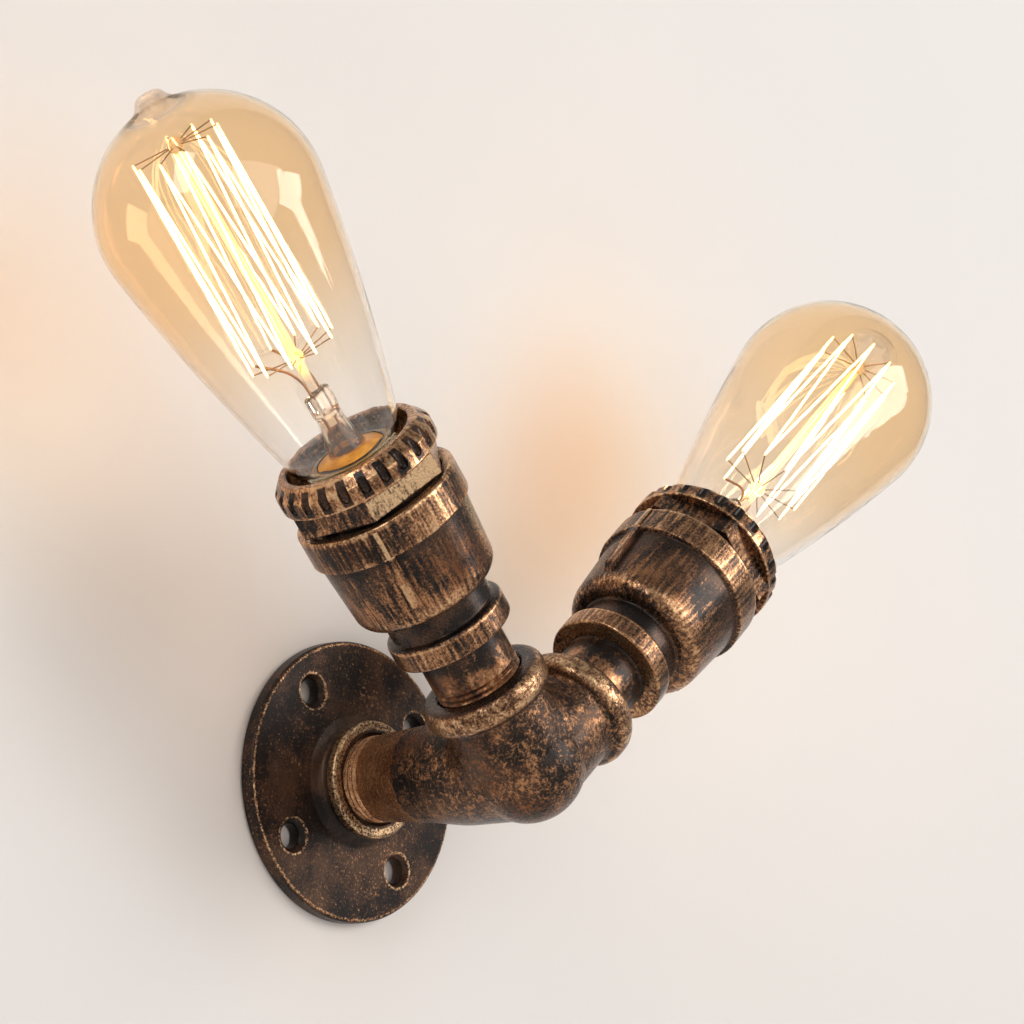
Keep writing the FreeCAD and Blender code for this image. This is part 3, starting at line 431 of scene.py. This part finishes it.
def stem_material(side):
    """Stem: pinkish clear glass, golden with a faint painted glow where it flares out, and a painted glow
    along its rod.
    """
    net = Net(side + "_stem_glass")
    s, x, y = arm_field(net, side)
    seeds = net.noise(net.place, 500.0, 3.0, 0.6)
    flare = 1.0 - net.ease(s, 109.0, 110.0)
    # Painted glow along the rod, standing in for the filament's light on it.
    rod_glow = net.band(s, 134.0, 204.0, 3.0) * 0.75
    glass = net.node("BsdfPrincipled", {
        "Base Color": (0.97, 0.83, 0.68, 1), "Roughness": 0.06, "IOR": 1.5, "Transmission Weight": 1.0,
        "Normal": net.bump(seeds, 0.03 * MM), "Emission Color": (1.0, 0.62, 0.16, 1),
        "Emission Strength": rod_glow})
    mottle = net.noise(net.place, 210.0, 4.0, 0.6, seed=3.0)
    gold = net.mix(net.ease(mottle, 0.35, 0.65), (0.46, 0.19, 0.028, 1), (0.66, 0.33, 0.060, 1))
    # The golden flare also has a faint painted glow.
    gold_and_glow = net.node("BsdfPrincipled", {
        "Base Color": gold, "Roughness": 0.42, "Metallic": 0.35, "Emission Color": gold,
        "Emission Strength": 0.22})
    return net.blend(flare, glass, gold_and_glow)


def strand_material(side):
    """Hot strand, whitest at mid height and more orange near its hooks."""
    net = Net(side + "_filament_glow")
    s, x, y = arm_field(net, side)
    heat = net.profile(s, [
        (138.0, 0.25), (146.0, 0.75), (160.0, 1.0), (190.0, 1.0), (203.0, 0.7), (210.0, 0.3)])
    flicker = net.noise(net.place, 120.0, 2.0, 0.5)
    color = net.mix(heat, (1.0, 0.50, 0.16, 1), (1.0, 0.86, 0.56, 1))
    return net.surface(Base_Color=(0.9, 0.6, 0.3, 1), Roughness=0.6, Emission_Color=color,
                       Emission_Strength=STRAND_GLOW * (0.35 + heat * 0.65) * (0.85 + flicker * 0.3))


# ---- finishes of the solids ----------------------------------------------------------------------
def dress(node, material):
    """Gives a CAD node its material."""
    mesh = frame["nodes"][node].data
    mesh.materials.clear()
    mesh.materials.append(material)


BRASS = turned_metal("bright_brass", (0.80, 0.58, 0.25, 1), 0.28)
CAP_BRASS = turned_metal("cap_brass", (0.86, 0.60, 0.24, 1), 0.30, 1800.0)
STEEL = turned_metal("plated_steel", (0.55, 0.55, 0.56, 1), 0.32)
WIRE = turned_metal("support_wire", (0.34, 0.22, 0.12, 1), 0.40, 4000.0)
LEAD = turned_metal("lead_wire", (0.40, 0.21, 0.11, 1), 0.38, 4000.0)
PORCELAIN = moulded("porcelain", (0.80, 0.77, 0.70, 1), 0.25, 0.06, coat=0.4)
BLOCK = moulded("block_plastic", (0.035, 0.033, 0.031, 1), 0.45)
FIBRE = moulded("washer_fibre", (0.045, 0.035, 0.028, 1), 0.75)
CEMENT = moulded("cap_cement", (0.50, 0.27, 0.06, 1), 0.5)
LIVE = moulded("live_insulation", (0.16, 0.055, 0.022, 1), 0.5, 0.3)
NEUTRAL = moulded("neutral_insulation", (0.02, 0.09, 0.32, 1), 0.5, 0.3)
VITRITE = moulded("vitrite", (0.012, 0.012, 0.016, 1), 0.12, coat=0.5)

dress("wall_flange", flange_material())
dress("three_way_elbow", elbow_material())
dress("terminal_block", BLOCK)
for name in ("live_insert", "neutral_insert"):
    dress(name, BRASS)
dress("block_screws", STEEL)
for side in SIDES:
    finishes = {
        "nipple": nipple_material(side),
        "reducer": reducer_material(side),
        "crown_bush": bush_material(side),
        "lampholder_body": PORCELAIN,
        "clamp_washer": FIBRE,
        "screw_shell": BRASS,
        "centre_contact": BRASS,
        "live_terminal": BRASS,
        "neutral_terminal": BRASS,
        "terminal_screws": STEEL,
        "live_wire": LIVE,
        "neutral_wire": NEUTRAL,
        "bulb_glass": glass_material(side),
        "bulb_cap": CAP_BRASS,
        "bulb_cement": CEMENT,
        "bulb_insulator": VITRITE,
        "bulb_eyelet": STEEL,
        "bulb_stem": stem_material(side),
        "bulb_filament": strand_material(side),
        "bulb_supports": WIRE,
        "bulb_leads": LEAD,
    }
    for name, material in finishes.items():
        dress(side + "_" + name, material)


def coiled_strand(side):
    """The filament at the full width of its fine coil, in place of its CAD node."""
    node = side + "_bulb_filament"
    mesh = frame["nodes"][node].data.copy()
    normals = [vertex.normal.copy() for vertex in mesh.vertices]
    for vertex, normal in zip(mesh.vertices, normals):
        vertex.co += normal * COIL_SWELL
    strand = bpy.data.objects.new(side + "_coiled_strand", mesh)
    bpy.context.scene.collection.objects.link(strand)
    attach(strand, side + "_bulb_screw")
    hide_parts(node)


for side in SIDES:
    coiled_strand(side)


# ---- room ----------------------------------------------------------------------------------------
def plane(name, corners, material):
    """Flat piece of the room, with one face towards the lamp."""
    mesh = bpy.data.meshes.new(name)
    mesh.from_pydata([Vector(corner) for corner in corners], [], [(0, 1, 2, 3)])
    mesh.materials.append(material)
    made = bpy.data.objects.new(name, mesh)
    bpy.context.scene.collection.objects.link(made)


def one_sided(net, color, hidden=0.0):
    """Matt paint that isn't there from behind, nor where hidden is 1."""
    behind = net.node("NewGeometry").outputs["Backfacing"]
    paint = net.node("BsdfDiffuse", {"Color": color})
    return net.blend(net.math("MAXIMUM", behind, hidden), paint, net.node("BsdfTransparent"))


# Painted light on the wall, a painted shadow beside the lamp and the painted glow of the two bulbs: centre,
# tilt from the vertical, half length, half width, strength, colour.
WALL_GLOW_AND_SHADOW = (
    # Warm painted shadow left of the lamp.
    ((-0.060, 0.042), math.radians(-40), 0.095, 0.046, 0.42, (0.86, 0.64, 0.48, 1)),
    # Painted glow of the left bulb.
    ((-0.128, 0.116), math.radians(-44), 0.080, 0.034, 0.7, (0.80, 0.73, 0.69, 1)),
    # Painted glow of the right bulb.
    ((0.086, 0.106), math.radians(12), 0.058, 0.032, 0.95, (0.77, 0.655, 0.575, 1)),
)


def wall_material():
    """Warm white wall with a painted glow of the two bulbs and a painted shadow beside the lamp; it doesn't
    shade the wall plate's back.
    """
    net = Net("wall_paint")
    x = net.dot(net.place, (1, 0, 0))
    z = net.dot(net.place, (0, 0, 1))
    plaster = net.noise(net.place, 6.0, 3.0, 0.5)
    color = net.mix(plaster, PAINT_DARK, PAINT_LIGHT)
    for centre, tilt, long, wide, strength, tone in WALL_GLOW_AND_SHADOW:
        dx = x - centre[0]
        dz = z - centre[1]
        along = dx * math.sin(tilt) + dz * math.cos(tilt)
        across = dx * math.cos(tilt) - dz * math.sin(tilt)
        spread = (along / long) * (along / long) + (across / wide) * (across / wide)
        color = net.mix(net.math("EXPONENT", spread * -1.0) * strength, color, tone)
    ray_length = net.node("LightPath").outputs["Ray Length"]
    return one_sided(net, color, 1.0 - net.ease(ray_length, 1.5 * MM, 3.0 * MM))


def floor_material():
    """Floor in the wall's colour."""
    net = Net("floor_paint")
    plaster = net.noise(net.place, 5.0, 3.0, 0.5)
    return one_sided(net, net.mix(plaster, PAINT_DARK, PAINT_LIGHT))


# The room, in metres. The gap keeps the wall plate's back from sharing the wall's plane.
WALL_HALF = 2.2
WALL_GAP = 0.0004
FLOOR_Z = -0.42
plane("backdrop", [(-WALL_HALF, WALL_GAP, FLOOR_Z), (WALL_HALF, WALL_GAP, FLOOR_Z),
                   (WALL_HALF, WALL_GAP, WALL_HALF), (-WALL_HALF, WALL_GAP, WALL_HALF)], wall_material())
plane("floor", [(-WALL_HALF, -WALL_HALF, FLOOR_Z), (WALL_HALF, -WALL_HALF, FLOOR_Z),
                (WALL_HALF, WALL_HALF, FLOOR_Z), (-WALL_HALF, WALL_HALF, FLOOR_Z)], floor_material())

world = bpy.data.worlds.new("studio")
bpy.context.scene.world = world
world.use_nodes = True
sky = world.node_tree.nodes["Background"]
sky.inputs["Color"].default_value = (1.0, 0.99, 0.985, 1)
sky.inputs["Strength"].default_value = 0.37


def softbox(name, direction, distance, size, power, color):
    """Area light aimed at the lamp's middle."""
    target = (cad_low + cad_high) / 2
    data = bpy.data.lights.new(name, "AREA")
    data.shape = "RECTANGLE"
    data.size, data.size_y = size
    data.energy = power
    data.color = color
    made = bpy.data.objects.new(name, data)
    bpy.context.scene.collection.objects.link(made)
    away = Vector(direction).normalized()
    made.location = target + away * distance
    made.rotation_mode = "QUATERNION"
    made.rotation_quaternion = (-away).to_track_quat("-Z", "Y")


softbox("front_light", (-0.06, -0.97, 0.22), 1.5, (1.25, 1.25), 7.0, (1.0, 0.985, 0.965))
softbox("right_light", (0.54, -0.80, 0.30), 1.5, (0.75, 0.75), 9.5, (1.0, 0.985, 0.965))
softbox("left_light", (-0.95, -0.30, 0.35), 1.4, (0.35, 0.9), 4.2, (0.97, 0.98, 1.0))
softbox("low_light", (0.2, -0.75, -0.75), 1.5, (0.7, 0.4), 3.2, (1.0, 0.98, 0.96))

# ---- camera at the photograph's angle ------------------------------------------------------------
# From a fit to the photograph: angles, and in metres the distance and how far the aim lies to the
# right of the frame's origin and above it, as the camera sees it.
CAMERA_AZIMUTH = math.radians(-46.692)
CAMERA_ELEVATION = math.radians(-12.046)
CAMERA_ROLL = math.radians(2.241)
CAMERA_DISTANCE = 1.25232
AIM_RIGHT = 0.049954
AIM_UP = 0.080017
LENS_MM = 149.0
SENSOR_MM = 36.0

back = Vector((math.sin(CAMERA_AZIMUTH) * math.cos(CAMERA_ELEVATION),
               -math.cos(CAMERA_AZIMUTH) * math.cos(CAMERA_ELEVATION),
               math.sin(CAMERA_ELEVATION)))
level = Vector((math.cos(CAMERA_AZIMUTH), math.sin(CAMERA_AZIMUTH), 0.0))
upright = back.cross(level)
right = level * math.cos(CAMERA_ROLL) + upright * math.sin(CAMERA_ROLL)
up = upright * math.cos(CAMERA_ROLL) - level * math.sin(CAMERA_ROLL)
camera_data = bpy.data.cameras.new("camera")
camera_data.lens = LENS_MM
camera_data.sensor_width = SENSOR_MM
camera_data.clip_start = 0.05
camera_data.clip_end = 20.0
camera = bpy.data.objects.new("camera", camera_data)
bpy.context.scene.collection.objects.link(camera)
camera.matrix_world = Matrix.Translation(right * AIM_RIGHT + up * AIM_UP + back * CAMERA_DISTANCE) @ Matrix(
    (right, up, back)).transposed().to_4x4()
bpy.context.scene.camera = camera
bpy.context.scene.view_settings.view_transform = "Standard"
